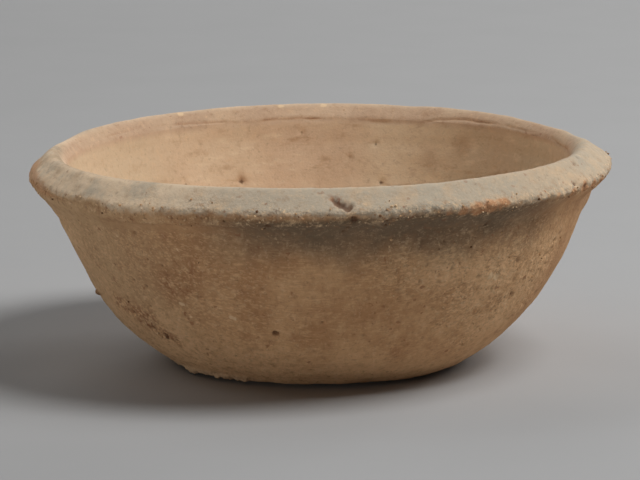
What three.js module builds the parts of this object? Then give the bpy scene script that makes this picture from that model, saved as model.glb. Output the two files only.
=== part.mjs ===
// An earthenware bowl: low, round and open, with a flat base, a curved wall and a thick bevelled rim.
// Millimetres, +Z up. The origin is on the table, under the middle of the rim, and -Y is the front.
//
// The clay was joined in three members before it was fired: a floor disc, a wall that stands on the
// disc's margin, and a rim coil that is seated on the wall's bevelled top.

import * as THREE from "three";

// The rim, seen in section. Insets run inwards from the outermost edge, drops run down from the crest.
const RIM_RADIUS = 70; // outermost edge of the rim
const CREST_HEIGHT = 51.2; // top of the rim above the table, at the middle of its tilt
const CREST_INSET = 6;
const CREST_ROUND = 1.8;
const EDGE_DROP = 5.9;
const EDGE_ROUND = 1.6;
const SEAM_INSET = 9.6; // the seam is the line inside the mouth where the rim coil meets the wall
const SEAM_DROP = 3.2;
const NECK_INSET = 5; // the neck is where the underside of the rim meets the outside of the wall
const NECK_DROP = 11;

// The wall and the floor.
const WALL_THICKNESS = 6;
const FLOOR_THICKNESS = 7;
const BASE_RADIUS = 35.5; // flat underside
const FOOT_ANGLE = 30; // degrees above the table, where the wall leaves the flat underside
const FOOT_PULL = 20.4; // how far that direction is kept
const NECK_ANGLE = 71; // degrees above level, where the wall arrives under the rim
const NECK_PULL = 16;

// The bowl is made by hand: its mouth is not level and its base is not quite under its mouth.
const RIM_TILT = 1.2; // the right of the rim stands this much above the middle, the left as much below
const BASE_SHIFT = 1; // the base lies this much to the left

const TURN_STEPS = 80; // facets round the bowl
const WALL_STEPS = 14; // facets up each side of the wall
const ROUND_STEPS = 5; // facets round the rim's crest and round its edge

// The fired clay is one material. The wall and floor are browner than the paler rim.
const BODY_COLOUR = 0xa67c58;
const RIM_COLOUR = 0xb6a188;
const CLAY_ROUGHNESS = 0.95;

const point = (radius, height) => new THREE.Vector2(radius, height);

const crest = point(RIM_RADIUS - CREST_INSET, CREST_HEIGHT - CREST_ROUND);
const edge = point(RIM_RADIUS - EDGE_ROUND, CREST_HEIGHT - EDGE_DROP);
const seam = point(RIM_RADIUS - SEAM_INSET, CREST_HEIGHT - SEAM_DROP);
const neck = point(RIM_RADIUS - NECK_INSET, CREST_HEIGHT - NECK_DROP);
const foot = point(BASE_RADIUS, 0);

const heading = (degrees, length) => {
  const angle = THREE.MathUtils.degToRad(degrees);
  return point(Math.cos(angle), Math.sin(angle)).multiplyScalar(length);
};

// The outside of the wall in section, from the edge of the flat underside up to the neck.
const outside = new THREE.CubicBezierCurve(
  foot,
  foot.clone().add(heading(FOOT_ANGLE, FOOT_PULL)),
  neck.clone().sub(heading(NECK_ANGLE, NECK_PULL)),
  neck,
);

// The inside of the wall lies one wall thickness in from the outside, square to it.
const insideAt = (share) => {
  const along = outside.getTangent(share);
  return outside.getPoint(share).add(point(-along.y, along.x).multiplyScalar(WALL_THICKNESS));
};

// The share of a rising curve at which it passes a height, found by halving.
const shareAtHeight = (curveAt, height) => {
  let low = 0;
  let high = 1;
  while (high - low > Number.EPSILON) {
    const middle = (low + high) / 2;
    if (curveAt(middle).y < height) low = middle;
    else high = middle;
  }
  return high;
};

const steps = (curveAt, from, to) =>
  Array.from({ length: WALL_STEPS + 1 }, (_, i) => curveAt(from + ((to - from) * i) / WALL_STEPS));

const outsideAt = (share) => outside.getPoint(share);
const outerFloorShare = shareAtHeight(outsideAt, FLOOR_THICKNESS);
const innerFloorShare = shareAtHeight(insideAt, FLOOR_THICKNESS);

// The outline of a band stretched round circles, given anticlockwise. A circle of no radius is a sharp corner.
const bandRound = (circles) => {
  const normals = circles.map((circle, i) => {
    const next = circles[(i + 1) % circles.length];
    const across = next.centre.clone().sub(circle.centre);
    return across.angle() - Math.acos((circle.radius - next.radius) / across.length());
  });
  return circles.flatMap((circle, i) => {
    if (circle.radius === 0) return [circle.centre];
    const from = normals.at(i - 1);
    const sweep = THREE.MathUtils.euclideanModulo(normals[i] - from, 2 * Math.PI);
    return Array.from({ length: ROUND_STEPS + 1 }, (_, step) => {
      const angle = from + (sweep * step) / ROUND_STEPS;
      return point(Math.cos(angle), Math.sin(angle)).multiplyScalar(circle.radius).add(circle.centre);
    });
  });
};

// The base's shift has died out where the wall is half way up, and the rim's tilt begins there.
// Each is constant over a joint, so the joints stay flat or conical and the members meet on them.
const halfWay = (FLOOR_THICKNESS + neck.y) / 2;
const shiftShare = (height) => 1 - THREE.MathUtils.smoothstep(height, FLOOR_THICKNESS, halfWay);
const tiltShare = (height) => THREE.MathUtils.smoothstep(height, halfWay, neck.y);

// Moves the points of a true round shape to where the potter's hands left them.
const shapeByHand = (geometry) => {
  const position = geometry.getAttribute("position");
  for (let i = 0; i < position.count; i += 1) {
    const x = position.getX(i);
    const z = position.getZ(i);
    position.setX(i, x - BASE_SHIFT * shiftShare(z));
    position.setZ(i, z + RIM_TILT * (x / RIM_RADIUS) * tiltShare(z));
  }
  return geometry;
};

// One member of the bowl: its outline in section, anticlockwise, turned about the upright axis.
const member = (name, outline, colour) => {
  const turned = new THREE.LatheGeometry(outline, TURN_STEPS).rotateX(Math.PI / 2);
  const clay = new THREE.MeshStandardMaterial({ color: colour, roughness: CLAY_ROUGHNESS, metalness: 0 });
  const mesh = new THREE.Mesh(shapeByHand(turned), clay);
  mesh.name = name;
  return mesh;
};

const floorDisc = member(
  "floor_disc",
  [point(0, 0), ...steps(outsideAt, 0, outerFloorShare), point(0, FLOOR_THICKNESS)],
  BODY_COLOUR,
);

const wall = member(
  "wall",
  [
    insideAt(innerFloorShare),
    ...steps(outsideAt, outerFloorShare, 1),
    seam,
    ...steps(insideAt, 1, innerFloorShare),
  ],
  BODY_COLOUR,
);

const rimCoil = member(
  "rim_coil",
  [
    ...bandRound([
      { centre: seam, radius: 0 },
      { centre: neck, radius: 0 },
      { centre: edge, radius: EDGE_ROUND },
      { centre: crest, radius: CREST_ROUND },
    ]),
    seam,
  ],
  RIM_COLOUR,
);

const bowl = new THREE.Group();
bowl.name = "bowl";
bowl.add(floorDisc, wall, rimCoil);

export default bowl;
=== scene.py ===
# A hand-made earthenware bowl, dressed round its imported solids, on a plain floor in soft studio light.
# Metres, +Z up, in the frame of the solids: -Y is the front and +X is the right.
#
# One skin line, in section, runs from the middle of the underside up the outside, over the rim and down
# the inside to the middle of the floor. The floor disc, the wall and the rim coil are cut from it and
# turned by Geometry Nodes, which add the unevenness of hand work, pits, chips and rough patches.

import math

import bpy
import numpy as np
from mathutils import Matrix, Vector


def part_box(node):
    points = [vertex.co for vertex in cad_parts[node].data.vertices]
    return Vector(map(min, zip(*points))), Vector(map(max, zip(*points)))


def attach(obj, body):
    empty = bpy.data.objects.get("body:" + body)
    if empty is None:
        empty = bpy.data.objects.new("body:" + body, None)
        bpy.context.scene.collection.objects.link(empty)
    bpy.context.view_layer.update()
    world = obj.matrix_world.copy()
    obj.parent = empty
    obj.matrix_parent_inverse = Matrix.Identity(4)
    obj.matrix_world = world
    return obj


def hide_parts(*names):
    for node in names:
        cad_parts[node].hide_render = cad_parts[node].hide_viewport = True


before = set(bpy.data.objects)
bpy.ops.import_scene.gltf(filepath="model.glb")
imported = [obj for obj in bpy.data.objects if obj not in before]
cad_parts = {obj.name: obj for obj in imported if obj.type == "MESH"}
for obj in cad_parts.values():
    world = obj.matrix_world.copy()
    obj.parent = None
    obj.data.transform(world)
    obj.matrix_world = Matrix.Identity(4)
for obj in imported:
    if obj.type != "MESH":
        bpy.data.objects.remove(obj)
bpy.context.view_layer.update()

MM = 0.001
SAME_PLACE = MM / 1000  # points closer than this are one
FULL_TURN = 2 * math.pi

# Sizes that the solids give.
rim_low, rim_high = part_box("rim_coil")
RIM_RADIUS = (rim_high.y - rim_low.y) / 2
FLOOR_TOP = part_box("floor_disc")[1].z

# The rim in section. Insets run inwards from the outermost edge, drops run down from the crest.
CREST_HEIGHT = 51.7 * MM
CREST_INSET = 6 * MM
CREST_ROUND = 1.8 * MM
EDGE_DROP = 5.9 * MM
EDGE_ROUND = 1.6 * MM
SEAM_INSET = 9.6 * MM
SEAM_DROP = 3.2 * MM
NECK_INSET = 5 * MM
NECK_DROP = 11 * MM
LIP_ANGLE = -25  # the lip is the lower side of the outermost edge, this far below level

# The wall and the base in section.
WALL_THICKNESS = 6 * MM
BASE_RADIUS = 35.6 * MM
HEEL_LIFT = 1.0 * MM  # the margin of the underside rises this much
HEEL_WIDTH = 8 * MM  # over this width
FOOT_ANGLE = 30
FOOT_PULL = 20.4 * MM
NECK_ANGLE = 71
NECK_PULL = 16 * MM
HOLLOW_REACH = 8 * MM  # the wall's inside turns into the floor over this length, each way

# Wet clay has no sharp corner: the section is smoothed over about this length.
SOFTNESS = 0.7 * MM

# Hand work on the true round shape. The mouth is lower on the left, and its outer edge more so.
BASE_SHIFT = Vector((-0.2, -2.4)) * MM  # the base is not quite under the mouth
CREST_TILT = 0.8 * MM
EDGE_TILT = 1.4 * MM
MOUTH_SADDLE = 0.35 * MM
MOUTH_PITCH = 0.15 * MM
FRONT_RISE = 0.8 * MM  # the edge stands this much higher at the front

# Mesh fineness. Facets are closer together at the front than at the back.
FACETS = 660
FRONT_FINENESS = 0.3
SECTION_STEP = 0.05 * MM
JOINT_STEP = 3 * MM
STEPS = {
    "underside": 1.6 * MM,
    "margin": 0.45 * MM,
    "outside": 0.45 * MM,
    "rim": 0.34 * MM,
    "inside": 0.8 * MM,
    "floor": 1.6 * MM,
}


# The section

def unit(degrees):
    return np.array([math.cos(math.radians(degrees)), math.sin(math.radians(degrees))])


def bezier(start, first, second, end, count=400):
    share = np.linspace(0, 1, count)[:, None]
    rest = 1 - share
    return rest**3 * start + 3 * rest**2 * share * first + 3 * rest * share**2 * second + share**3 * end


def lengths(points):
    """How far along a line each of its points lies."""
    return np.concatenate([[0], np.cumsum(np.linalg.norm(np.diff(points, axis=0), axis=1))])


def points_at(points, stops):
    """The places on a line at the given lengths along it."""
    travelled = lengths(points)
    return np.stack([np.interp(stops, travelled, points[:, axis]) for axis in (0, 1)], axis=1)


def even_stops(start, end, step):
    return np.linspace(start, end, max(2, round((end - start) / step) + 1))


def outward(points):
    """Unit vectors square to a line, on its right-hand side as it is walked."""
    along = np.gradient(points, axis=0)
    along /= np.linalg.norm(along, axis=1, keepdims=True)
    return np.stack([along[:, 1], -along[:, 0]], axis=1)


def softened(points, reach):
    """A line of evenly spaced points with its corners smoothed and its ends kept."""
    spread = reach / SECTION_STEP
    count = int(3 * spread)
    kernel = np.exp(-0.5 * (np.arange(-count, count + 1) / spread) ** 2)
    kernel /= kernel.sum()
    before = 2 * points[0] - points[count:0:-1]
    after = 2 * points[-1] - points[-2 : -count - 2 : -1]
    padded = np.concatenate([before, points, after])
    return np.stack([np.convolve(padded[:, axis], kernel, "valid") for axis in (0, 1)], axis=1)


def arc(centre, radius, start, end, count=12):
    """Points on a circle, anticlockwise from one direction in degrees to another."""
    sweep = (end - start) % 360
    return [centre + radius * unit(start + sweep * share) for share in np.linspace(0, 1, count)]


def band_angle(centre, radius, next_centre, next_radius):
    """The direction, in degrees, in which a band stretched round two circles touches both of them."""
    across = next_centre - centre
    lean = math.acos((radius - next_radius) / np.linalg.norm(across))
    return math.degrees(math.atan2(across[1], across[0]) - lean)


crest = np.array([RIM_RADIUS - CREST_INSET, CREST_HEIGHT - CREST_ROUND])
edge = np.array([RIM_RADIUS - EDGE_ROUND, CREST_HEIGHT - EDGE_DROP])
seam = np.array([RIM_RADIUS - SEAM_INSET, CREST_HEIGHT - SEAM_DROP])
neck = np.array([RIM_RADIUS - NECK_INSET, CREST_HEIGHT - NECK_DROP])
foot = np.array([BASE_RADIUS, HEEL_LIFT])
lip = edge + EDGE_ROUND * unit(LIP_ANGLE)
half_way = (FLOOR_TOP + neck[1]) / 2

foot_pull = FOOT_PULL * unit(FOOT_ANGLE)
neck_pull = NECK_PULL * unit(NECK_ANGLE)
outside_line = bezier(foot, foot + foot_pull, neck - neck_pull, neck)
inside_line = (outside_line - WALL_THICKNESS * outward(outside_line))[::-1]
outer_joint = np.array([np.interp(FLOOR_TOP, outside_line[:, 1], outside_line[:, 0]), FLOOR_TOP])
inner_joint = np.array([np.interp(FLOOR_TOP, inside_line[::-1, 1], inside_line[::-1, 0]), FLOOR_TOP])
inner_length = np.interp(-FLOOR_TOP, -inside_line[:, 1], lengths(inside_line))
hollow_start = points_at(inside_line, [inner_length - HOLLOW_REACH])[0]
hollow_end = inner_joint - (HOLLOW_REACH, 0)

under_rim = band_angle(neck, 0, edge, EDGE_ROUND)
bevel = band_angle(edge, EDGE_ROUND, crest, CREST_ROUND)
inner_bevel = band_angle(crest, CREST_ROUND, seam, 0)
sharp_skin = np.array([
    (0, 0),
    (BASE_RADIUS - HEEL_WIDTH, 0),
    *outside_line,
    *arc(edge, EDGE_ROUND, under_rim, bevel),
    *arc(crest, CREST_ROUND, bevel, inner_bevel),
    seam,
    *inside_line[inside_line[:, 1] > hollow_start[1]],
    *bezier(hollow_start, inner_joint, inner_joint, hollow_end, 40),
    (0, FLOOR_TOP),
])
skin = points_at(sharp_skin, even_stops(0, lengths(sharp_skin)[-1], SECTION_STEP))
skin = softened(skin, SOFTNESS)
skin_out = outward(skin)
skin_length = lengths(skin)


def length_at(point):
    """How far along the skin the place nearest to a point is."""
    return skin_length[np.argmin(np.linalg.norm(skin - point, axis=1))]


# Lengths along the skin are counted from the lip: below it they are negative, above it positive.
LIP = length_at(lip)
FOOT = length_at(foot) - LIP
NECK = length_at(neck) - LIP
CREST = skin_length[np.argmax(skin[:, 1])] - LIP
SEAM = length_at(seam) - LIP
joint_stops = [length_at(point) for point in (foot, outer_joint, neck, seam, inner_joint)]
stretch_ends = [0, *joint_stops, skin_length[-1]]
STRETCHES = {
    name: even_stops(start, end, step)
    for (name, step), start, end in zip(STEPS.items(), stretch_ends, stretch_ends[1:])
}


def stretch(name):
    """One stretch of skin: its section points, with their outward directions and lengths from the lip."""
    stops = STRETCHES[name]
    out = np.stack([np.interp(stops, skin_length, skin_out[:, axis]) for axis in (0, 1)], axis=1)
    place = points_at(skin, stops)
    return {"place": place, "out": out, "along": stops - LIP, "skin": np.ones(len(stops))}


def joint(first, second):
    """A joint face inside the clay, between the ends of two stretches: points without relief."""
    ends = np.array([first["place"][-1], second["place"][0]])
    inner = points_at(ends, even_stops(0, lengths(ends)[-1], JOINT_STEP))[1:-1]
    blank = np.zeros(len(inner))
    return {"place": inner, "out": np.zeros((len(inner), 2)), "along": blank, "skin": blank}


def section_object(name, runs, closed):
    """A section as a line of vertices and edges, with what the turning needs to know of each vertex."""
    rows = {key: np.concatenate([run[key] for run in runs]) for key in runs[0]}
    apart = np.linalg.norm(rows["place"] - np.roll(rows["place"], 1, axis=0), axis=1) > SAME_PLACE
    rows = {key: row[apart] for key, row in rows.items()}
    hidden = rows["skin"] == 0
    rows["corner"] = (~hidden & (np.roll(hidden, 1) | np.roll(hidden, -1))).astype(float)
    count = len(hidden)
    edges = [(i, i + 1) for i in range(count - 1)]
    if closed:
        edges.append((count - 1, 0))
    mesh = bpy.data.meshes.new(name)
    mesh.from_pydata([(radius, 0, height) for radius, height in rows["place"]], edges, [])
    outs = np.stack([rows["out"][:, 0], np.zeros(count), rows["out"][:, 1]], axis=1)
    mesh.attributes.new("out", "FLOAT_VECTOR", "POINT").data.foreach_set("vector", outs.ravel())
    for key in ("along", "skin", "corner"):
        mesh.attributes.new(key, "FLOAT", "POINT").data.foreach_set("value", rows[key].astype(np.float32))
    made = bpy.data.objects.new(name, mesh)
    bpy.context.scene.collection.objects.link(made)
    return made


def skin_point(angle, along):
    """A place on the true round skin. The angle, in degrees, runs from the front towards the right."""
    radius, height = points_at(skin, [along + LIP])[0]
    around = math.radians(angle)
    return Vector((radius * math.sin(around), -radius * math.cos(around), height))


# Node trees

class Field:
    """A value in a node tree. Sums and products of fields add the nodes that work them out."""

    def __init__(self, tree, socket):
        self.tree = tree
        self.socket = socket

    def math(self, operation, *others):
        made = add(self.tree, "ShaderNodeMath", operation=operation)
        for socket, value in zip(made.inputs, (self, *others)):
            feed(self.tree, socket, value)
        return Field(self.tree, made.outputs[0])

    def __add__(self, other):
        return self.math("ADD", other)

    def __sub__(self, other):
        return self.math("SUBTRACT", other)

    def __mul__(self, other):
        return self.math("MULTIPLY", other)

    def __truediv__(self, other):
        return self.math("DIVIDE", other)

    def sin(self):
        return self.math("SINE")

    def cos(self):
        return self.math("COSINE")

    def size(self):
        return self.math("ABSOLUTE")

    def most(self, other):
        return self.math("MAXIMUM", other)

    def rest(self):
        """What is missing from 1."""
        return self * -1 + 1

    def ease(self, low, high):
        """0 up to low, 1 from high on, and smooth between them. With low above high it falls instead."""
        feeds = {"Value": self, "From Min": low, "From Max": high}
        made = add(self.tree, "ShaderNodeMapRange", feeds, interpolation_type="SMOOTHSTEP")
        return Field(self.tree, made.outputs[0])


def feed(tree, socket, value):
    if isinstance(value, Field):
        tree.links.new(value.socket, socket)
    elif isinstance(value, bpy.types.NodeSocket):
        tree.links.new(value, socket)
    else:
        socket.default_value = value


def add(tree, kind, feeds=None, **settings):
    """A new node, with its settings, and with values or links fed to its inputs by name or number."""
    made = tree.nodes.new(kind)
    for name, value in settings.items():
        setattr(made, name, value)
    for name, value in (feeds or {}).items():
        feed(tree, made.inputs[name], value)
    return made


def noise_node(tree, place, size, seed, detail, roughness):
    feeds = {"Vector": place, "W": seed, "Scale": 1 / size, "Detail": detail, "Roughness": roughness}
    return add(tree, "ShaderNodeTexNoise", feeds, noise_dimensions="4D")


def noise(tree, place, size, seed, detail=2.0, roughness=0.5):
    """Smooth noise with features of about the given size, centred on 0.5. Each use has its own seed."""
    return Field(tree, noise_node(tree, place, size, seed, detail, roughness).outputs[0])


def vector_math(tree, operation, first, second):
    return add(tree, "ShaderNodeVectorMath", {0: first, 1: second}, operation=operation).outputs[0]


def scaled(tree, vector, amount):
    return add(tree, "ShaderNodeVectorMath", {0: vector, "Scale": amount}, operation="SCALE").outputs[0]


def combined(tree, x, y, z):
    return add(tree, "ShaderNodeCombineXYZ", {0: x, 1: y, 2: z}).outputs[0]


def separated(tree, vector):
    return [Field(tree, part) for part in add(tree, "ShaderNodeSeparateXYZ", {0: vector}).outputs]


def distance(tree, place, point):
    made = add(tree, "ShaderNodeVectorMath", {0: place, 1: point}, operation="DISTANCE")
    return Field(tree, made.outputs["Value"])


def shaken(tree, place, size, amount, seed):
    """A place moved about by noise, so that what is measured from it gets a ragged outline."""
    colours = noise_node(tree, place, size, seed, 2.0, 0.5).outputs[1]
    moved = scaled(tree, vector_math(tree, "SUBTRACT", colours, (0.5, 0.5, 0.5)), 2 * amount)
    return vector_math(tree, "ADD", place, moved)


def facing(tree, place, degrees, narrow, wide):
    """1 on the side of the bowl within narrow degrees of a direction, and 0 from wide degrees on."""
    x, y, _ = separated(tree, place)
    around = math.radians(degrees)
    share = (x * math.sin(around) - y * math.cos(around)) / (x * x + y * y).math("SQRT")
    return share.ease(math.cos(math.radians(wide)), math.cos(math.radians(narrow)))


# Sides of the bowl, in degrees: the direction, from the front towards the right, then how far to each
# side of it they are full, and from where on they are gone.

BACK_SIDE = (180, 60, 105)
FRONT_SIDE = (0, 22, 40)
LEFT_TIP = (-90, 16, 34)
WORN_LIP = (-63, 14, 24)
GRANULAR_LIP = (-22, 20, 38)
CRUMBLED_HEEL = (-46, 11, 28)
FULL_CREST = (88, 34, 72)
SEAM_SIDE = (165, 60, 82)
# Where the darker cloud under the rim lies: partly smoke stain, partly painted shade.
SMOKE_AND_SHADE_SIDE = (16, 20, 47)
OLIVE_SIDE = (-80, 20, 60)
SANDY_SIDE = (-52, 26, 58)
STAINED_SIDE = (165, 30, 75)
SHADED_CREST = (-64, 26, 42)
COAT_PAINTED_SHADE_SIDE = (90, 20, 140)
COAT_GREYING = (4, 16, 40)
COAT_GONE = (-64, 16, 21)
STRIP_WIDENING = (-100, 14, 42)
STRIP_SIDE = (-98, 26, 40)


# Marks on the skin: angle in degrees, length from the lip and reach in millimetres, strength.

ROUGH_MARKS = [
    (18, -16, 12, 0.7),
    (30, -14, 14, 0.9),
    (34, -26, 12, 0.9),
    (44, -18, 16, 1.0),
    (46, -30, 14, 1.0),
    (58, -20, 14, 1.0),
    (60, -32, 10, 0.8),
    (44, -39, 9, 0.7),
    (52, -9, 8, 0.6),
    (-31, -22, 9, 0.5),
    (150, -20, 16, 0.7),
    (-125, -26, 14, 0.5),
    (-165, -34, 12, 0.6),
]
RED_MARKS = [
    (-57, -32, 8, 1.0),
    (-52, -32, 7, 0.8),
    (-50, -35, 9, 1.0),
    (-45, -39, 6, 1.0),
    (-35, -22, 8, 0.6),
    (-29, -18, 7, 0.6),
    (-60, -18, 7, 0.4),
    (-14, -20, 6, 0.3),
    (112, -36, 6, 0.7),
    (-105, -40, 6, 0.6),
    (2.8, 5.2, 2.6, 1.0),
    (4.4, 3.8, 2.4, 1.0),
]
PALE_MARKS = [
    (29, -16, 12, 0.9),
    (42, -20, 18, 0.9),
    (56, -22, 16, 0.7),
    (50, -32, 16, 0.7),
    (-72, -14, 16, 0.5),
    (-60, -34, 16, 0.6),
    (-40, -44, 18, 0.9),
    (-20, -46, 14, 0.6),
    (-170, -30, 16, 0.6),
    (135, -40, 14, 0.5),
]
DARK_MARKS = [
    (-38, -16, 20, 0.4),
    (-20, -22, 16, 0.3),
    (2, -28, 18, 0.3),
    (175, -12, 14, 0.5),
    (-140, -14, 12, 0.4),
    (120, -30, 14, 0.4),
    (142, 20, 5, 0.6),
    (150, 24, 5, 0.5),
    (-159.5, 29, 3, 0.9),
]
BARE_MARKS = [
    (37, 0.8, 3.6, 1.0),
    (34, 0.4, 4.0, 1.0),
    (31, 0, 3.8, 1.0),
    (28, -0.3, 3.2, 0.8),
    (25, -0.6, 2.6, 0.6),
    (72, -0.3, 3.0, 1.0),
    (68, -0.3, 3.2, 1.0),
    (63, 0.1, 3.2, 1.0),
    (58, 0, 2.8, 0.8),
    (52, 0, 2.4, 0.6),
    (2.4, 5.4, 2.2, 0.5),
    (3.8, 4.2, 2.6, 0.5),
    (148, 0, 3.0, 0.8),
    (153, 0.3, 3.4, 1.0),
    (-168, 0, 3.0, 0.8),
]
GRITTY_MARKS = [
    (39.5, 1.2, 3.5, 1.0),
    (43, 0.8, 3.0, 0.7),
    (58, 1.0, 3.0, 0.6),
    (-22, 1.5, 7.0, 0.8),
    (-10, 1.0, 6.0, 0.7),
    (-34, 1.5, 6.0, 0.7),
    (14, -0.5, 6.0, 0.6),
    (8, 3.0, 3.0, 0.7),
    (120, 1.0, 5.0, 0.6),
    (170, 1.0, 6.0, 0.6),
]
FLECKS = [
    (-34, -27, 0.9, 1.0),
    (-33.3, -27.1, 0.7, 1.0),
    (-21.2, -29.5, 1.0, 0.8),
    (-20.4, -29.9, 0.9, 0.8),
    (-32.5, -30.8, 0.7, 0.7),
    (-30.5, -11.2, 0.7, 0.7),
    (-46.3, -9.1, 0.7, 0.7),
    (41, -20, 1.6, 0.7),
    (43, -20.6, 1.6, 0.7),
    (-146, 10.2, 1.4, 0.9),
    (-171, 10.2, 1.2, 0.8),
    (179, 10.2, 1.2, 0.9),
]


def near_marks(tree, place, marks):
    """How close a place is to the nearest of some marks: 0 out of reach, up to the mark's strength."""
    total = None
    for angle, along, reach, strength in marks:
        close = distance(tree, place, skin_point(angle, along * MM)).ease(reach * MM, 0) * strength
        total = total.most(close) if total else close
    return total


# A gouge across the front of the rim, small dents, crumbs stuck to the skin and broad swells that hands
# left: angle in degrees, length from the lip, reach and depth or height in millimetres.

GOUGE = [
    (3.2, 4.8, 1.8, 0.7),
    (4.3, 3.6, 1.7, 0.9),
    (5.6, 2.5, 1.6, 0.9),
    (6.6, -0.6, 1.3, 0.9),
    (5.4, -3.8, 1.0, 0.7),
    (4.9, -5.6, 1.0, 0.6),
]
DENTS = [
    (-9.5, -2.2, 1.3, 0.8),
    (59, 2.2, 1.1, 0.8),
    (63, 0.4, 1.8, 0.7),
    (-10.7, -34, 1.3, 1.2),
    (-45.5, -39, 1.6, 0.8),
    (-49, -37, 1.4, 0.6),
    (-54, -33, 1.4, 0.5),
    (62.9, -15, 1.0, 0.8),
    (61.5, -18, 0.9, 0.6),
    (52, -27, 1.2, 0.6),
    (-43.3, -23.5, 1.1, 0.6),
    (-46.6, -22.2, 1.0, 0.5),
    (-39.6, -14.9, 0.9, 0.6),
    (-36, -16.3, 1.0, 0.5),
    (-51.6, -18.5, 1.0, 0.5),
    (-45, -29.7, 0.9, 0.6),
    (-41, -48, 0.9, 0.6),
    (0.8, -30.1, 0.9, 0.5),
    (-17.7, -18.9, 0.8, 0.5),
    (26.4, -10, 1.0, 0.6),
    (66.9, -16.3, 0.9, 0.6),
    (-159.4, 29.2, 1.3, 0.8),
    (-143.2, 28.3, 1.0, 0.5),
    (163.5, 30.2, 1.1, 0.7),
    (165.8, 20.2, 1.0, 0.5),
    (172.5, 24, 1.0, 0.5),
    (-175.8, 17.5, 1.0, 0.5),
    (65.4, 7.4, 1.0, 0.7),
]
CRUMBS = [
    (-70.5, -30, 1.7, 1.1),
    (-57, -30.5, 0.8, 0.4),
    (-55, -32, 0.9, 0.5),
    (-52.5, -33.5, 0.9, 0.5),
    (-53, -35.5, 0.8, 0.45),
    (-50, -36, 1.0, 0.6),
    (-47.5, -38, 0.9, 0.6),
    (-45.5, -39.5, 1.2, 0.7),
    (-128, -33, 1.1, 0.6),
    (160, -38, 1.0, 0.6),
]
SWELLS = [
    (-90, -18, 24, -1.4),
    (92, 3, 9, 0.7),
    (90, -8.5, 8, 1.2),
    (-104, 7, 20, -0.7),
    (101, 8, 12, -0.6),
    (122, 9, 34, -0.9),
]


def heaped(tree, place, bumps):
    """The heights of some bumps, added up, in millimetres."""
    total = None
    for angle, along, reach, height in bumps:
        bump = distance(tree, place, skin_point(angle, along * MM)).ease(reach * MM, 0) * height
        total = total + bump if total else bump
    return total


# The turning of a member

# Sizes that the tree of a clay member takes as named inputs. A pit's depth is a share of its reach.
CLAY_SIZES = {
    "Slow relief": 0.9 * MM,
    "Lump relief": 0.6 * MM,
    "Wiping relief": 0.25 * MM,
    "Grain relief": 0.22 * MM,
    "Rough relief": 1.2 * MM,
    "Lip relief": 1.3 * MM,
    "Pit density": 0.027 / MM**2,
    "Pit spacing": 1.8 * MM,
    "Smallest pit": 0.35 * MM,
    "Largest pit": 0.75 * MM,
    "Pit depth": 0.42,
}
PIT_FEW = 0.1  # the share of the pits that smooth clay has
PIT_STRETCH = 2.4  # how much longer than wide they are
SLOW_SIZE, LUMP_SIZE = 34 * MM, 7 * MM
WIPE_SIZE, GRAIN_SIZE = 2.6 * MM, 1.15 * MM
LIP_REACH, LIP_WAVE = 2.9 * MM, 1.6 * MM
LIP_WEAR, NECK_FILL, LIP_BAND = 1.0 * MM, 0.6 * MM, 0.8 * MM
TIP_FLAT = 0.5 * MM  # the left end of the mouth is blunted by this
HEEL_SIZE, HEEL_REACH, HEEL_RELIEF = 3 * MM, 5 * MM, 1.5 * MM
LEDGE_REACH, LEDGE_HEIGHT = 2 * MM, 0.6 * MM
FULL_REACH, FULL_HEIGHT = 5 * MM, 0.8 * MM
SEAM_REACH, SEAM_DEPTH, SEAM_WANDER = 0.5 * MM, 0.35 * MM, 1.8 * MM
LINING_START, LINING_FULL = CREST + 1.2 * MM, SEAM + 0.8 * MM
LINING_LEAD = 3.4 * MM  # the lining begins this much sooner at the back


def attribute(tree, name, kind="FLOAT"):
    made = add(tree, "GeometryNodeInputNamedAttribute", {"Name": name}, data_type=kind)
    return made.outputs["Attribute"]


def number(tree, name):
    return Field(tree, attribute(tree, name))


def position(tree):
    return add(tree, "GeometryNodeInputPosition").outputs[0]


def stored(tree, geometry, name, value, kind="FLOAT", domain="POINT"):
    feeds = {"Geometry": geometry, "Name": name, "Value": value}
    made = add(tree, "GeometryNodeStoreNamedAttribute", feeds, data_type=kind, domain=domain)
    return made.outputs["Geometry"]


def new_tree(name, inputs, sizes):
    """A Geometry Nodes tree with named inputs, and one more for each size. Returns it and its inputs."""
    tree = bpy.data.node_groups.new(name, "GeometryNodeTree")
    for label, kind in {**inputs, **dict.fromkeys(sizes, "NodeSocketFloat")}.items():
        tree.interface.new_socket(label, in_out="INPUT", socket_type=kind)
    tree.interface.new_socket("Geometry", in_out="OUTPUT", socket_type="NodeSocketGeometry")
    return tree, add(tree, "NodeGroupInput").outputs


def finish_tree(tree, geometry, material):
    whole = add(tree, "GeometryNodeRealizeInstances", {"Geometry": geometry}).outputs[0]
    dressed = add(tree, "GeometryNodeSetMaterial", {"Geometry": whole, "Material": material}).outputs[0]
    add(tree, "NodeGroupOutput", {"Geometry": dressed})


def placed(tree, geometry, place):
    return add(tree, "GeometryNodeSetPosition", {"Geometry": geometry, "Position": place}).outputs[0]


def turned_mesh(tree, given):
    """The section swept round the axis, with the angle and the section point of each vertex stored."""
    section = add(tree, "GeometryNodeObjectInfo", {"Object": given["Section"]})
    outline = add(tree, "GeometryNodeMeshToCurve", {"Mesh": section.outputs["Geometry"]}).outputs[0]
    outline = stored(tree, outline, "section", position(tree), "FLOAT_VECTOR")
    ring = add(tree, "GeometryNodeCurvePrimitiveCircle", {"Resolution": given["Facets"]}).outputs["Curve"]
    even = Field(tree, add(tree, "GeometryNodeInputIndex").outputs[0]) / given["Facets"] * FULL_TURN
    ring = stored(tree, ring, "turn", even - even.sin() * FRONT_FINENESS)
    return add(tree, "GeometryNodeCurveToMesh", {"Curve": ring, "Profile Curve": outline}).outputs["Mesh"]


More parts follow.
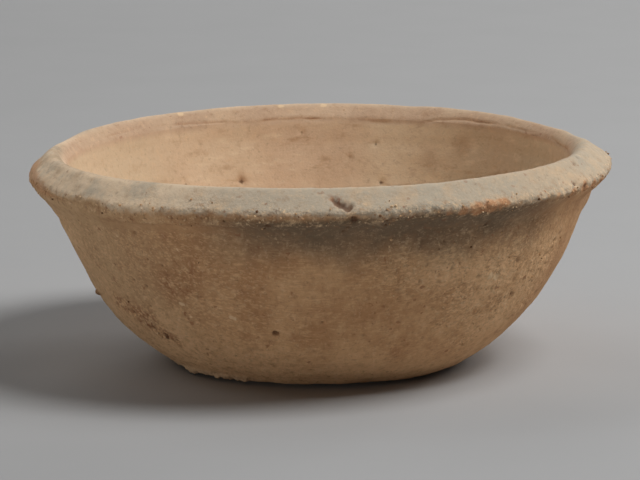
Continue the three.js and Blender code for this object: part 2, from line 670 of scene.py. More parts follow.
def lining_share(tree, place, along):
    """0 on the outside and over the crest, 1 inside the mouth. At the back it begins at the crest."""
    begun = along + facing(tree, place, *BACK_SIDE) * LINING_LEAD
    return begun.ease(LINING_START, LINING_FULL)


def bump_along(along, middle, reach):
    """1 on one line round the bowl, falling to 0 at a reach from it."""
    return (along - middle).size().ease(reach, 0)


# How the joint below the crest rises: degrees from the front, full within these and gone beyond these,
# rise in millimetres.
SEAM_RISES = [
    (-118, 10, 44, 1.4),
    (131, 12, 28, 1.2),
    (158, 4, 16, -0.7),
]


def seam_line(tree, place, along, reach):
    """1 on the wandering joint below the crest, 0 away from it and where the clay was smeared over it."""
    wander = (noise(tree, place, 9 * MM, 6.5, 4.0, 0.6) - 0.5) * SEAM_WANDER
    for degrees, narrow, wide, rise in SEAM_RISES:
        wander = wander - facing(tree, place, degrees, narrow, wide) * (rise * MM)
    smeared = noise(tree, place, 12 * MM, 6.0, 3.0).ease(0.34, 0.56)
    return bump_along(along - wander, SEAM, reach) * smeared * facing(tree, place, *SEAM_SIDE)


# Bands round the rim: how far the middle lies from the lip, and the reach to each side of it.
NECK_BAND = (NECK, 4 * MM)
LIP_UNDERSIDE = (-1.8 * MM, 2.4 * MM)
LIP_FACE = (-0.5 * MM, 3 * MM)
TIP_FACE = (0.8 * MM, 2.4 * MM)
BEVEL_FOOT = (2.8 * MM, 3.4 * MM)


def edge_relief(tree, place, along):
    """What wear and hands did to the lip and to the heel."""
    granular = bump_along(along, 0, LIP_REACH)
    wave = (noise(tree, place, 6 * MM, 7.0) - 0.5) * granular * LIP_WAVE
    worn = facing(tree, place, *WORN_LIP)
    wear = bump_along(along, *LIP_FACE) * worn * -LIP_WEAR
    filling = bump_along(along, *NECK_BAND) * worn * NECK_FILL
    band = bump_along(along, *LIP_UNDERSIDE) * facing(tree, place, *GRANULAR_LIP) * LIP_BAND
    blunt = facing(tree, place, *LEFT_TIP)
    flattened = bump_along(along, *TIP_FACE) * blunt * -TIP_FLAT
    beside = bump_along(along, *LIP_UNDERSIDE) + bump_along(along, *BEVEL_FOOT) * 0.6
    filled = beside * blunt * TIP_FLAT
    heel = bump_along(along, FOOT, HEEL_REACH)
    crumbled = facing(tree, place, *CRUMBLED_HEEL)
    ragged = (noise(tree, place, HEEL_SIZE, 5.0) - 0.45) * heel * (crumbled * 0.7 + 0.3) * HEEL_RELIEF
    crumbs = (noise(tree, place, GRAIN_SIZE, 9.0) - 0.5) * heel * crumbled * HEEL_RELIEF
    ledge = (along - FOOT - LEDGE_REACH / 2).size().ease(LEDGE_REACH, LEDGE_REACH / 3)
    broken = noise(tree, place, 4 * MM, 8.0, 4.0, 0.7).ease(0.4, 0.6)
    shelf = ledge * broken * crumbled * LEDGE_HEIGHT
    return wave + wear + filling + band + flattened + filled + ragged + crumbs + shelf


def relief(tree, given, place, turn, along, rough):
    """How far the skin stands out from the true round shape, in metres."""
    lining = lining_share(tree, place, along)
    slow = (noise(tree, place, SLOW_SIZE, 1.0, 1.0) - 0.5) * given["Slow relief"]
    lumps = (noise(tree, place, LUMP_SIZE, 2.0) - 0.5) * given["Lump relief"]
    round_about = combined(tree, turn.sin() * WIPE_SIZE, turn.cos() * WIPE_SIZE, along)
    wiping = (noise(tree, round_about, WIPE_SIZE, 3.0) - 0.5) * given["Wiping relief"]
    at_lip = bump_along(along, 0, LIP_REACH) * given["Lip relief"]
    coarse = rough * given["Rough relief"] + at_lip + given["Grain relief"]
    grains = (noise(tree, place, GRAIN_SIZE, 4.0) - 0.5) * coarse * (lining * -0.6 + 1)
    full = bump_along(along, (CREST + SEAM) / 2, FULL_REACH) * FULL_HEIGHT
    full = full * facing(tree, place, *FULL_CREST)
    groove = seam_line(tree, place, along, SEAM_REACH) * SEAM_DEPTH
    swells = heaped(tree, place, SWELLS) * MM
    return slow + lumps + wiping + grains + full + swells + edge_relief(tree, place, along) - groove


def random_number(tree, least, most, seed):
    feeds = {2: least, 3: most, "Seed": seed}
    return add(tree, "FunctionNodeRandomValue", feeds, data_type="FLOAT").outputs[1]


def random_vector(tree, least, most, seed):
    feeds = {0: least, 1: most, "Seed": seed}
    return add(tree, "FunctionNodeRandomValue", feeds, data_type="FLOAT_VECTOR").outputs[0]


def scattered(tree, mesh, share, spacing, density, seed):
    """Points strewn over a mesh, no closer than a spacing, up to a density times a share."""
    feeds = {
        "Mesh": mesh,
        "Distance Min": spacing,
        "Density Max": density,
        "Density Factor": share,
        "Seed": seed,
    }
    return add(tree, "GeometryNodeDistributePointsOnFaces", feeds, distribute_method="POISSON").outputs


def pits(tree, given, mesh, rough):
    """How deep a vertex lies in the nearest of the scattered pits: 0 outside, 1 at its middle.
    Also gives that pit's reach."""
    lining = lining_share(tree, position(tree), number(tree, "along"))
    share = (rough * (1 - PIT_FEW) + PIT_FEW) * (lining * -0.7 + 1) * number(tree, "skin")
    seed = given["Seed"]
    points = scattered(tree, mesh, share, given["Pit spacing"], given["Pit density"], seed)["Points"]
    reaches = random_number(tree, given["Smallest pit"], given["Largest pit"], seed)
    points = stored(tree, points, "reach", reaches)
    lie = random_vector(tree, (-1, -1, -1), (1, 1, 1), seed)
    lie = add(tree, "ShaderNodeVectorMath", {0: lie}, operation="NORMALIZE").outputs[0]
    points = stored(tree, points, "lie", lie, "FLOAT_VECTOR")
    place = shaken(tree, position(tree), 0.8 * MM, 0.25 * MM, 41.0)
    feeds = {"Geometry": points, "Sample Position": place}
    nearest = add(tree, "GeometryNodeSampleNearest", feeds, domain="POINT").outputs[0]

    def of_nearest(value, kind):
        feeds = {"Geometry": points, "Value": value, "Index": nearest}
        return add(tree, "GeometryNodeSampleIndex", feeds, data_type=kind).outputs[0]

    middle = of_nearest(position(tree), "FLOAT_VECTOR")
    direction = of_nearest(attribute(tree, "lie", "FLOAT_VECTOR"), "FLOAT_VECTOR")
    reach = Field(tree, of_nearest(attribute(tree, "reach"), "FLOAT"))
    away = vector_math(tree, "SUBTRACT", place, middle)
    lengthwise = add(tree, "ShaderNodeVectorMath", {0: away, 1: direction}, operation="DOT_PRODUCT")
    lengthwise = Field(tree, lengthwise.outputs["Value"])
    shortened = scaled(tree, direction, lengthwise * (1 / PIT_STRETCH - 1))
    across = distance(tree, vector_math(tree, "ADD", away, shortened), (0, 0, 0))
    return (across / reach).ease(1.0, 0.2), reach


def handled(tree, place, turn, height):
    """Where the potter's hands left a point of the true round shape."""
    x, y, z = separated(tree, place)
    low = height.ease(half_way, FLOOR_TOP)
    high = height.ease(half_way, neck[1])
    below_crest = height.ease(CREST_HEIGHT, edge[1])
    tilt = below_crest * (EDGE_TILT - CREST_TILT) + CREST_TILT
    lean = x * (1 / RIM_RADIUS) * tilt
    sway = (turn * 2).cos() * MOUTH_SADDLE * below_crest.rest() - turn.cos() * MOUTH_PITCH
    rise = facing(tree, place, *FRONT_SIDE) * below_crest * FRONT_RISE
    raised = z + (lean + sway + rise) * high
    return combined(tree, x + low * BASE_SHIFT.x, y + low * BASE_SHIFT.y, raised.most(0))


def turned_clay_tree():
    """One clay member: its section turned, marked, roughened, pitted and put where the hands left it."""
    tree, given = new_tree("turned_clay", {
        "Section": "NodeSocketObject",
        "Facets": "NodeSocketInt",
        "Seed": "NodeSocketInt",
        "Clay": "NodeSocketMaterial",
    }, CLAY_SIZES)
    turn = number(tree, "turn")
    along = number(tree, "along")
    radius, _, height = separated(tree, attribute(tree, "section", "FLOAT_VECTOR"))
    out, _, up = separated(tree, attribute(tree, "out", "FLOAT_VECTOR"))
    away = combined(tree, turn.sin() * out, turn.cos() * out * -1, up)

    def moved_out(geometry, amount):
        offset = scaled(tree, away, amount)
        return add(tree, "GeometryNodeSetPosition", {"Geometry": geometry, "Offset": offset}).outputs[0]

    mesh = turned_mesh(tree, given)
    mesh = placed(tree, mesh, combined(tree, turn.sin() * radius, turn.cos() * radius * -1, height))
    place = position(tree)
    ragged_place = shaken(tree, place, 2 * MM, 1.1 * MM, 42.0)
    wandering_place = shaken(tree, place, 9 * MM, 4 * MM, 43.0)
    nicked_place = shaken(tree, place, 1.2 * MM, 0.35 * MM, 44.0)
    broad = {"rough": ROUGH_MARKS, "red": RED_MARKS, "pale": PALE_MARKS, "dark": DARK_MARKS}
    for name, marks in broad.items():
        mesh = stored(tree, mesh, name, near_marks(tree, wandering_place, marks))
    small = {"bare": BARE_MARKS, "gritty": GRITTY_MARKS}
    for name, marks in small.items():
        mesh = stored(tree, mesh, name, near_marks(tree, ragged_place, marks))
    mesh = stored(tree, mesh, "fleck", near_marks(tree, nicked_place, FLECKS))
    dents = heaped(tree, nicked_place, DENTS) + heaped(tree, ragged_place, GOUGE)
    mesh = stored(tree, mesh, "dent", dents * number(tree, "skin"))
    mesh = stored(tree, mesh, "crumb", heaped(tree, nicked_place, CRUMBS) * number(tree, "skin"))
    nicks = (number(tree, "crumb") - number(tree, "dent")) * MM
    raised = relief(tree, given, place, turn, along, number(tree, "rough")) + nicks
    mesh = moved_out(mesh, raised * number(tree, "skin"))
    pit, reach = pits(tree, given, mesh, number(tree, "rough"))
    mesh = stored(tree, mesh, "pit", pit * number(tree, "skin"))
    mesh = stored(tree, mesh, "pit_reach", reach)
    sunk = number(tree, "pit") * number(tree, "pit_reach") * given["Pit depth"]
    mesh = moved_out(mesh, sunk * -1)
    mesh = placed(tree, mesh, handled(tree, place, turn, height))
    mesh = add(tree, "GeometryNodeMergeByDistance", {"Geometry": mesh, "Distance": SAME_PLACE}).outputs[0]
    sharp = number(tree, "corner").math("GREATER_THAN", 0.99)
    feeds = {0: mesh, "Selection": sharp, "Shade Smooth": False}
    mesh = add(tree, "GeometryNodeSetShadeSmooth", feeds, domain="EDGE").outputs[0]
    finish_tree(tree, mesh, given["Clay"])
    return tree


# Sizes that the tree of the sand grains takes as named inputs.
GRIT_SIZES = {
    "Density": 0.3 / MM**2,
    "Spacing": 0.5 * MM,
    "Smallest": 0.14 * MM,
    "Largest": 0.38 * MM,
    "Sunk": 0.15 * MM,
}
LIP_MIDDLE = 0.3 * MM  # the lip is most granular here


def grit_tree():
    """Grains of sand that stand in the clay, along the lip and in rough patches."""
    tree, given = new_tree("sand_grains", {
        "Clay": "NodeSocketObject",
        "Seed": "NodeSocketInt",
        "Sand": "NodeSocketMaterial",
    }, GRIT_SIZES)
    mesh = add(tree, "GeometryNodeObjectInfo", {"Object": given["Clay"]}).outputs["Geometry"]
    along = number(tree, "along")
    patches = noise(tree, position(tree), 3 * MM, 21.0, 3.0).ease(0.4, 0.65)
    lip_band = (along - LIP_MIDDLE).size().ease(3.2 * MM, 0.5 * MM) * 0.7
    share = (lip_band + number(tree, "rough") * 0.3 + number(tree, "red") * 0.3) * patches
    share = share * along.ease(FOOT + 2 * MM, FOOT + 5 * MM) * along.ease(CREST + 2 * MM, CREST)
    share = (share + number(tree, "gritty") * 0.8) * number(tree, "skin")
    strewn = scattered(tree, mesh, share, given["Spacing"], given["Density"], given["Seed"])
    grain = add(tree, "GeometryNodeMeshIcoSphere", {"Radius": 1.0, "Subdivisions": 1}).outputs["Mesh"]
    shape = random_vector(tree, (0.6, 0.6, 0.6), (1.2, 1.2, 1.2), 31)
    size = scaled(tree, shape, random_number(tree, given["Smallest"], given["Largest"], 32))
    inwards = scaled(tree, strewn["Normal"], Field(tree, given["Sunk"]) * -1)
    sunk = add(tree, "GeometryNodeSetPosition", {"Geometry": strewn["Points"], "Offset": inwards})
    feeds = {"Points": sunk.outputs[0], "Instance": grain, "Scale": size}
    grains = add(tree, "GeometryNodeInstanceOnPoints", feeds)
    feed(tree, grains.inputs["Rotation"], random_vector(tree, (0, 0, 0), (FULL_TURN,) * 3, 33))
    tone = random_number(tree, 0, 1, 34)
    finish_tree(tree, stored(tree, grains.outputs[0], "tone", tone, domain="INSTANCE"), given["Sand"])
    return tree


MOST_TRIANGLES = 196000  # a piece with more than this is thinned


def settled(piece):
    """Makes what a piece's modifier gives its plain mesh, with no modifier left on it."""
    depsgraph = bpy.context.evaluated_depsgraph_get()
    evaluated = piece.evaluated_get(depsgraph)
    mesh = bpy.data.meshes.new_from_object(evaluated, preserve_all_data_layers=True, depsgraph=depsgraph)
    piece.modifiers.clear()
    piece.data = mesh
    mesh.name = piece.name


def grown(name, tree, settings):
    """A piece grown from a node tree, as a plain mesh object."""
    piece = bpy.data.objects.new(name, bpy.data.meshes.new(name))
    bpy.context.scene.collection.objects.link(piece)
    nodes = piece.modifiers.new("nodes", "NODES")
    nodes.node_group = tree
    for item in tree.interface.items_tree:
        if item.in_out == "INPUT":
            nodes[item.identifier] = settings[item.name]
    settled(piece)
    return piece


def thin_out(piece):
    """Joins triangles of a piece that has too many of them, where it is flattest."""
    piece.data.calc_loop_triangles()
    count = len(piece.data.loop_triangles)
    if count > MOST_TRIANGLES:
        thinning = piece.modifiers.new("thinning", "DECIMATE")
        thinning.ratio = MOST_TRIANGLES / count
        settled(piece)


# Materials

def srgb(red, green, blue):
    """A colour as it looks on a screen, from 0 to 255, as the shader's linear values."""
    shown = (part / 255 for part in (red, green, blue))
    return (*(part / 12.92 if part <= 0.04045 else ((part + 0.055) / 1.055) ** 2.4 for part in shown), 1)


CLAY_LIGHT = srgb(217, 170, 124)
CLAY_DEEP = srgb(196, 147, 103)
CLAY_PALE = srgb(238, 201, 158)
CLAY_WARM_AND_LIT = srgb(250, 204, 155)
CLAY_BROWN = srgb(170, 125, 88)
CLAY_OLIVE = srgb(206, 178, 140)
CLAY_DUN = srgb(196, 164, 137)
CLAY_RED = srgb(150, 90, 58)
SMOKE_AND_SHADE = srgb(112, 96, 78)
LINING_LIGHT = srgb(224, 201, 172)
LINING_DEEP = srgb(210, 183, 152)
LINING_PINK = srgb(218, 184, 154)
# The lining with painted light, and with painted shade.
LINING_PAINTED_LIGHT = srgb(228, 198, 164)
LINING_PAINTED_SHADE = srgb(200, 178, 147)
LINING_PALE = srgb(238, 214, 182)
# The rim's coat with painted light, for its left, and with painted shade, for its right.
COAT_PAINTED_LIGHT = srgb(240, 214, 182)
COAT_PAINTED_SHADE = srgb(188, 170, 146)
COAT_GREY = srgb(176, 168, 152)
COAT_WARM = srgb(208, 178, 144)
BARE_EDGE = srgb(204, 146, 102)
DARK_BROWN_AND_HOLLOW_SHADE = srgb(98, 62, 41)
SAND_DARK = srgb(122, 90, 64)
SAND_TAN = srgb(204, 165, 124)
SAND_PALE = srgb(242, 210, 168)
STRAW = srgb(246, 202, 154)
PAPER_DARK = srgb(169, 169, 169)
PAPER_LIGHT = srgb(173, 173, 173)

CLAY_ROUGHNESS, CLAY_SHINE = 0.92, 0.2
PAPER_ROUGHNESS, PAPER_SHINE = 0.95, 0.1
FINE_GRAIN_SIZE, FINE_GRAIN_HEIGHT = 0.55 * MM, 0.4 * MM
# The darker cloud under the rim is partly smoke stain and partly painted shade.
SMOKE_AND_SHADE_SIZE, SMOKE_AND_SHADE_DRIFT = 11 * MM, 12 * MM
SMOKE_AND_SHADE_FADE = (-18 * MM, -4 * MM)  # from the lip: none below the first, full above the second
SMOKE_AND_SHADE_TOP = (0.6 * MM, -1 * MM)  # from the lip: none above the first, full below the second


def mixed(tree, share, first, second):
    """The first colour, with a share of the second in it."""
    made = add(tree, "ShaderNodeMix", {0: share, 6: first, 7: second}, data_type="RGBA")
    return made.outputs[2]


def new_material(name):
    material = bpy.data.materials.new(name)
    material.use_nodes = True
    tree = material.node_tree
    tree.nodes.clear()
    shader = add(tree, "ShaderNodeBsdfPrincipled")
    add(tree, "ShaderNodeOutputMaterial", {"Surface": shader.outputs[0]})
    return material, tree, shader


def painted(tree, name):
    """An attribute of the mesh, as a value."""
    return Field(tree, add(tree, "ShaderNodeAttribute", attribute_name=name).outputs["Fac"])


def object_place(tree):
    return add(tree, "ShaderNodeTexCoord").outputs["Object"]


def matt_clay(tree, shader, place, colour, coarse):
    """Dry unglazed clay, with a grain finer than the mesh."""
    feed(tree, shader.inputs["Base Color"], colour)
    shader.inputs["Roughness"].default_value = CLAY_ROUGHNESS
    shader.inputs["Specular IOR Level"].default_value = CLAY_SHINE
    grain = noise(tree, place, FINE_GRAIN_SIZE, 56.0, 3.0, 0.6)
    feeds = {"Strength": coarse * 0.8 + 0.15, "Distance": FINE_GRAIN_HEIGHT, "Height": grain}
    bump = add(tree, "ShaderNodeBump", feeds)
    feed(tree, shader.inputs["Normal"], bump.outputs[0])


def chaff(tree, place, lie, seed):
    """Short thin marks of straw, lying along one direction."""
    turned = add(tree, "ShaderNodeMapping", {"Vector": place, "Rotation": lie, "Scale": (0.25, 1, 1)})
    return noise(tree, turned.outputs[0], 0.6 * MM, seed, 2.0).ease(0.55, 0.66)


def with_grains(tree, place, colour, coarse, chaffy):
    """Fine sand and chaff in the clay: few and faint where it is smooth, many where it is coarse."""
    cloud = noise(tree, place, 1.8 * MM, 60.0, 4.0, 0.7)
    colour = mixed(tree, cloud.ease(0.5, 0.3) * (coarse * 0.5 + 0.2), colour, CLAY_BROWN)
    colour = mixed(tree, cloud.ease(0.5, 0.7) * (coarse * 0.5 + 0.15), colour, CLAY_PALE)
    dark = noise(tree, place, 1.0 * MM, 61.0, 3.0, 0.6).ease(0.58, 0.7)
    pale = noise(tree, place, 0.7 * MM, 62.0, 3.0, 0.6).ease(0.56, 0.68)
    colour = mixed(tree, dark * (coarse * 0.36 + 0.14), colour, DARK_BROWN_AND_HOLLOW_SHADE)
    colour = mixed(tree, pale * (coarse * 0.65 + 0.08), colour, SAND_PALE)
    burnt = chaff(tree, place, (0, 0.6, 0.3), 63.0).most(chaff(tree, place, (0, -0.9, 0.2), 64.0))
    colour = mixed(tree, burnt * chaffy * 0.26, colour, DARK_BROWN_AND_HOLLOW_SHADE)
    straw = chaff(tree, place, (0, 0.7, 0.4), 65.0).most(chaff(tree, place, (0, 1.3, 0.5), 68.0))
    colour = mixed(tree, straw * chaffy * 0.8, colour, STRAW)
    spots = noise(tree, place, 1.8 * MM, 66.0, 2.0).ease(0.66, 0.72)
    colour = mixed(tree, spots * coarse.ease(0, 0.3) * 0.55, colour, CLAY_RED)
    crust = noise(tree, place, 0.9 * MM, 69.0, 3.0, 0.6).ease(0.44, 0.58) * painted(tree, "red")
    colour = mixed(tree, crust * 0.75, colour, CLAY_RED)
    colour = mixed(tree, painted(tree, "fleck").ease(0.1, 0.5) * 0.7, colour, SAND_PALE)
    colour = mixed(tree, painted(tree, "crumb").ease(0.1, 0.5) * 0.5, colour, DARK_BROWN_AND_HOLLOW_SHADE)
    # Darker in pits and dents: partly the clay's own dark brown, partly painted shade in the hollows.
    colour = mixed(tree, painted(tree, "pit") * 0.35, colour, DARK_BROWN_AND_HOLLOW_SHADE)
    return mixed(tree, painted(tree, "dent").ease(0.12, 0.6) * 0.75, colour, DARK_BROWN_AND_HOLLOW_SHADE)


def smoke_and_shade_share(tree, along, place):
    """A darker cloud under the rim, at the front and towards the right: partly smoke stain, partly
    painted shade under the overhanging rim.
    """
    drift = noise(tree, place, SMOKE_AND_SHADE_SIZE, 67.0, 4.0, 0.6) - 0.5
    hanging = along + drift * SMOKE_AND_SHADE_DRIFT
    band = hanging.ease(*SMOKE_AND_SHADE_FADE) * along.ease(*SMOKE_AND_SHADE_TOP)
    return band * facing(tree, place, *SMOKE_AND_SHADE_SIDE)


def outside_colour(tree, place, along):
    """The outside: mottled brown, with patches, streaks and smudges, painted lighter towards the foot,
    and smoke stain with painted shade under the rim.
    """
    mottle = noise(tree, place, 12 * MM, 51.0, 4.0, 0.6).ease(0.35, 0.65)
    colour = mixed(tree, mottle, CLAY_DEEP, CLAY_LIGHT)
    colour = mixed(tree, facing(tree, place, *OLIVE_SIDE) * 0.45, colour, CLAY_OLIVE)
    colour = mixed(tree, painted(tree, "pale") * 0.8, colour, CLAY_WARM_AND_LIT)
    colour = mixed(tree, painted(tree, "dark") * 0.6, colour, CLAY_BROWN)
    # Painted light: lighter and warmer towards the foot.
    colour = mixed(tree, along.ease(FOOT + 22 * MM, FOOT + 5 * MM) * 0.4, colour, CLAY_WARM_AND_LIT)
    x, y, z = separated(tree, place)
    streaks = noise(tree, combined(tree, x, y, z * 0.25), 1.2 * MM, 52.0, 3.0, 0.6).ease(0.5, 0.75)
    colour = mixed(tree, streaks * 0.45, colour, CLAY_BROWN)
    smudged = noise(tree, place, 4 * MM, 53.0, 4.0, 0.65).ease(0.54, 0.76)
    colour = mixed(tree, smudged * 0.4, colour, CLAY_RED)
    crumbled = along.ease(FOOT + 4 * MM, FOOT + 1.5 * MM) * facing(tree, place, *CRUMBLED_HEEL)
    colour = mixed(tree, crumbled * 0.25, colour, COAT_GREY)
    # Smoke stain and painted shade under the rim.
    return mixed(tree, smoke_and_shade_share(tree, along, place) * 0.92, colour, SMOKE_AND_SHADE)


# Tints of the lining by side, among them painted light on the left of the inside and painted shade on its
# right: degrees from the front, full within these and gone beyond these, share, tint.
LINING_SIDES = [
    (-145, 20, 60, 0.6, LINING_PAINTED_LIGHT),
    (-112, 10, 34, 0.5, LINING_PAINTED_SHADE),
    (163, 10, 28, 0.85, LINING_PALE),
    (-178, 6, 18, 0.5, LINING_PINK),
    (105, 20, 60, 0.6, LINING_PAINTED_SHADE),
]


def lining_colour(tree, place, along):
    """The inside: wiped round, with painted light on the left and painted shade on the right, and with
    the joint below the crest as a line.
    """
    x, y, _ = separated(tree, place)
    round_about = combined(tree, x * 0.12, y * 0.12, along)
    wiped = noise(tree, round_about, 2.2 * MM, 54.0, 4.0, 0.6).ease(0.3, 0.75)
    colour = mixed(tree, wiped, LINING_DEEP, LINING_LIGHT)
    pink = noise(tree, place, 14 * MM, 55.0, 3.0).ease(0.42, 0.66)
    colour = mixed(tree, pink * 0.6, colour, LINING_PINK)
    on_wall = (x * x + y * y).math("SQRT").ease(12 * MM, 44 * MM)
    for degrees, narrow, wide, share, tint in LINING_SIDES:
        colour = mixed(tree, facing(tree, place, degrees, narrow, wide) * on_wall * share, colour, tint)
    blotches = noise(tree, combined(tree, x * 0.35, y * 0.35, along), 3 * MM, 72.0, 4.0, 0.65)
    stained = facing(tree, place, *STAINED_SIDE)
    colour = mixed(tree, blotches.ease(0.54, 0.7) * stained * 0.45, colour, CLAY_BROWN)
    colour = mixed(tree, blotches.ease(0.48, 0.3) * stained * 0.6, colour, LINING_PALE)
    dun = along.ease(SEAM + 2 * MM, SEAM) * (pink * -0.5 + 0.9)
    colour = mixed(tree, dun, colour, CLAY_DUN)
    colour = mixed(tree, seam_line(tree, place, along, 0.5 * MM) * 0.48, colour, CLAY_BROWN)
    return mixed(tree, painted(tree, "dark") * 0.6, colour, CLAY_BROWN)


def body_clay():
    material, tree, shader = new_material("brown_clay")
    place = object_place(tree)
    along = painted(tree, "along")
    lining = lining_share(tree, place, along)
    colour = mixed(tree, lining, outside_colour(tree, place, along), lining_colour(tree, place, along))
    patches = painted(tree, "rough").most(painted(tree, "red"))
    sandy = patches.most(facing(tree, place, *SANDY_SIDE) * 0.25)
    coarse = (sandy * 0.75 + 0.25) * (lining * -0.75 + 1)
    # Under the rim the clay is darker, partly from smoke stain and partly from painted shade; chaff shows
    # less there.
    smoked_and_shaded = smoke_and_shade_share(tree, along, place)
    colour = with_grains(tree, place, colour, coarse, coarse * (smoked_and_shaded * -0.75 + 1))
    colour = mixed(tree, smoked_and_shaded * 0.3, colour, SMOKE_AND_SHADE)
    matt_clay(tree, shader, place, colour, coarse)
    return material


def coat_colour(tree, place):
    """The pale skin of the rim: painted light makes it paler on the left and painted shade darker towards
    the right; greyer at the front, with grey and warm clouds.
    """
    colour = mixed(tree, facing(tree, place, *COAT_PAINTED_SHADE_SIDE), COAT_PAINTED_LIGHT, COAT_PAINTED_SHADE)
    grey = noise(tree, place, 8 * MM, 57.0, 4.0, 0.6).ease(0.45, 0.7) * 0.65
    colour = mixed(tree, grey.most(facing(tree, place, *COAT_GREYING) * 0.6), colour, COAT_GREY)
    warm = noise(tree, place, 6 * MM, 58.0, 4.0, 0.6).ease(0.48, 0.7)
    return mixed(tree, warm * 0.6, colour, COAT_WARM)


def bare_share(tree, place, level, ragged):
    """Where the coat is broken off the edge: in chips, and in a strip that widens round the left."""
    wander = noise(tree, place, 7 * MM, 70.0, 4.0, 0.6) - 0.5
    width = facing(tree, place, *STRIP_WIDENING) * 6 - 1
    strip = (level - width + wander * 6 + ragged * 4).ease(1.2, -1.2) * level.ease(-2, -0.5) * 0.75
    chips = (painted(tree, "bare") + ragged * 0.9).ease(0.3, 0.7)
    return chips.most(strip * facing(tree, place, *STRIP_SIDE))


def rim_clay():
    material, tree, shader = new_material("pale_rim_clay")
    place = object_place(tree)
    along = painted(tree, "along")
    level = along * (1 / MM)
    ragged = noise(tree, place, 2 * MM, 59.0, 5.0, 0.7) - 0.5
    worn_front = facing(tree, place, *GRANULAR_LIP)
    worn_left = facing(tree, place, *COAT_GONE)
    coat = (level + ragged * 4 - worn_front * 0.9 - worn_left * 1.7).ease(-1.1, 0.9)
    colour = mixed(tree, coat, outside_colour(tree, place, along), coat_colour(tree, place))
    lining = lining_share(tree, place, along)
    colour = mixed(tree, lining, colour, lining_colour(tree, place, along))
    colour = mixed(tree, bare_share(tree, place, level, ragged) * 0.85, colour, BARE_EDGE)
    # Painted shade along the inner side of the crest, strongest at the left end, where it also dulls the
    # lit inner bevel.
    shade = bump_along(along - ragged * MM, CREST + 1.2 * MM, 2.8 * MM)
    colour = mixed(tree, shade * facing(tree, place, *SHADED_CREST) * 0.6, colour, SMOKE_AND_SHADE)
    granular = (along - LIP_MIDDLE).size().ease(3.4 * MM, 1 * MM).most(painted(tree, "gritty"))
    coarse = granular * 0.75 + 0.18
    colour = with_grains(tree, place, colour, coarse, granular * 0.2)
    matt_clay(tree, shader, place, colour, coarse)
    return material


def sand():
    material, tree, shader = new_material("sand_grain")
    tone = painted(tree, "tone")
    colour = mixed(tree, tone.ease(0.1, 0.3), SAND_DARK, SAND_TAN)
    colour = mixed(tree, tone.ease(0.7, 0.95), colour, SAND_PALE)
    matt_clay(tree, shader, object_place(tree), colour, tone)
    return material


# Camera, lights and floor

CAMERA_DISTANCE = 0.9
CAMERA_ELEVATION = 10.44
CAMERA_AIM = Vector((0.23, 0, 28.2)) * MM
CAMERA_LENS, CAMERA_SENSOR = 209.5, 36

# Lamps: degrees from the front towards the right, degrees up, distance, width and power in watts.
LAMPS = {
    "key": (72, 60, 1.2, 0.5, 8.0),
    "right": (88, 45, 1.2, 0.5, 3.4),
    "back_left": (-135, 45, 1.6, 1.4, 5.0),
    "back_right": (135, 20, 1.2, 0.5, 3.2),
    "back": (180, 20, 1.2, 0.5, 1.3),
    "left": (-90, 40, 1.2, 0.5, 0.8),
    "front_left": (-60, 5, 1.2, 0.2, 1.45),
    "front": (0, 5, 1.2, 0.2, 0.6),
}
SKY_STRENGTH = 0.02
FLOOR_REACH = 4  # metres from the bowl, each way


def towards(azimuth, elevation):
    """A unit vector from the bowl, in degrees from the front towards the right and degrees up."""
    around = math.radians(azimuth)
    rise = math.radians(elevation)
    level = math.cos(rise)
    return Vector((math.sin(around) * level, -math.cos(around) * level, math.sin(rise)))


def place_camera():
    back = towards(0, CAMERA_ELEVATION)
    lens = bpy.data.cameras.new("camera")
    lens.sensor_width = CAMERA_SENSOR
    lens.lens = CAMERA_LENS
    camera = bpy.data.objects.new("camera", lens)
    camera.location = CAMERA_AIM + back * CAMERA_DISTANCE
    camera.rotation_euler = back.to_track_quat("Z", "Y").to_euler()
    bpy.context.scene.collection.objects.link(camera)
    bpy.context.scene.camera = camera


def light_studio():
    for name, (azimuth, elevation, away, width, power) in LAMPS.items():
        lamp = bpy.data.lights.new(name, "AREA")
        lamp.shape = "DISK"
        lamp.size = width
        lamp.energy = power
        holder = bpy.data.objects.new(name, lamp)
        holder.location = towards(azimuth, elevation) * away
        holder.rotation_euler = towards(azimuth, elevation).to_track_quat("Z", "Y").to_euler()
        holder.visible_camera = False
        bpy.context.scene.collection.objects.link(holder)
    world = bpy.data.worlds.new("studio")
    world.use_nodes = True
    background = world.node_tree.nodes["Background"]
    background.inputs["Color"].default_value = (1, 1, 1, 1)
    background.inputs["Strength"].default_value = SKY_STRENGTH
    bpy.context.scene.world = world


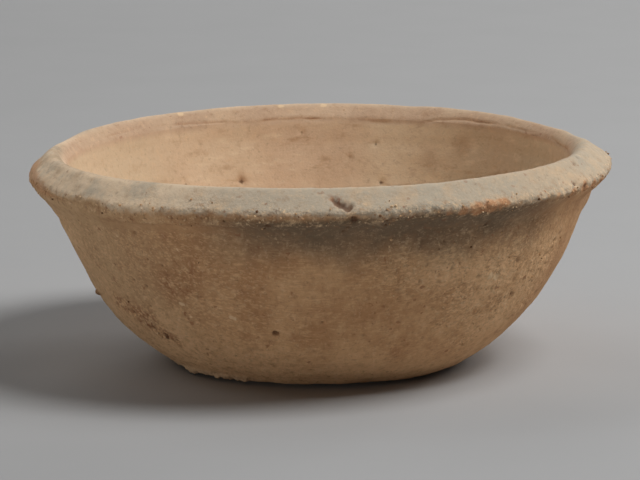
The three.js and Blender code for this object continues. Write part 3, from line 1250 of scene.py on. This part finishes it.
def lay_floor():
    material, tree, shader = new_material("grey_paper")
    tone = noise(tree, object_place(tree), 30 * MM, 71.0, 3.0)
    feed(tree, shader.inputs["Base Color"], mixed(tree, tone, PAPER_DARK, PAPER_LIGHT))
    shader.inputs["Roughness"].default_value = PAPER_ROUGHNESS
    shader.inputs["Specular IOR Level"].default_value = PAPER_SHINE
    signs = [(-1, -1), (1, -1), (1, 1), (-1, 1)]
    corners = [(x * FLOOR_REACH, y * FLOOR_REACH, 0) for x, y in signs]
    mesh = bpy.data.meshes.new("studio_floor")
    mesh.from_pydata(corners, [], [(0, 1, 2, 3)])
    mesh.materials.append(material)
    floor = bpy.data.objects.new("studio_floor", mesh)
    bpy.context.scene.collection.objects.link(floor)


# The bowl

def make_bowl():
    tree = turned_clay_tree()
    grains = grit_tree()
    clays = {"body_clay": body_clay(), "rim_clay": rim_clay()}
    grit = sand()
    run = {name: stretch(name) for name in STRETCHES}
    floor_runs = [run["underside"], run["margin"], joint(run["margin"], run["floor"]), run["floor"]]
    wall_runs = [
        run["outside"],
        joint(run["outside"], run["inside"]),
        run["inside"],
        joint(run["inside"], run["outside"]),
    ]
    rim_runs = [run["rim"], joint(run["rim"], run["rim"])]
    members = {
        "floor_disc": (floor_runs, False, "body_clay", 5),
        "wall": (wall_runs, True, "body_clay", 6),
        "rim_coil": (rim_runs, True, "rim_clay", 7),
    }
    for node, (runs, closed, slot, seed) in members.items():
        section = section_object(node + "_section", runs, closed)
        settings = {"Section": section, "Facets": FACETS, "Seed": seed, "Clay": clays[slot], **CLAY_SIZES}
        piece = grown(node + "_clay", tree, settings)
        bpy.data.objects.remove(section)
        if node != "floor_disc":
            settings = {"Clay": piece, "Seed": seed, "Sand": grit, **GRIT_SIZES}
            sprinkled = grown(node + "_grit", grains, settings)
            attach(sprinkled, "root")
        thin_out(piece)
        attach(piece, "root")
        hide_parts(node)


place_camera()
light_studio()
lay_floor()
make_bowl()

bpy.context.scene.view_settings.view_transform = "Standard"
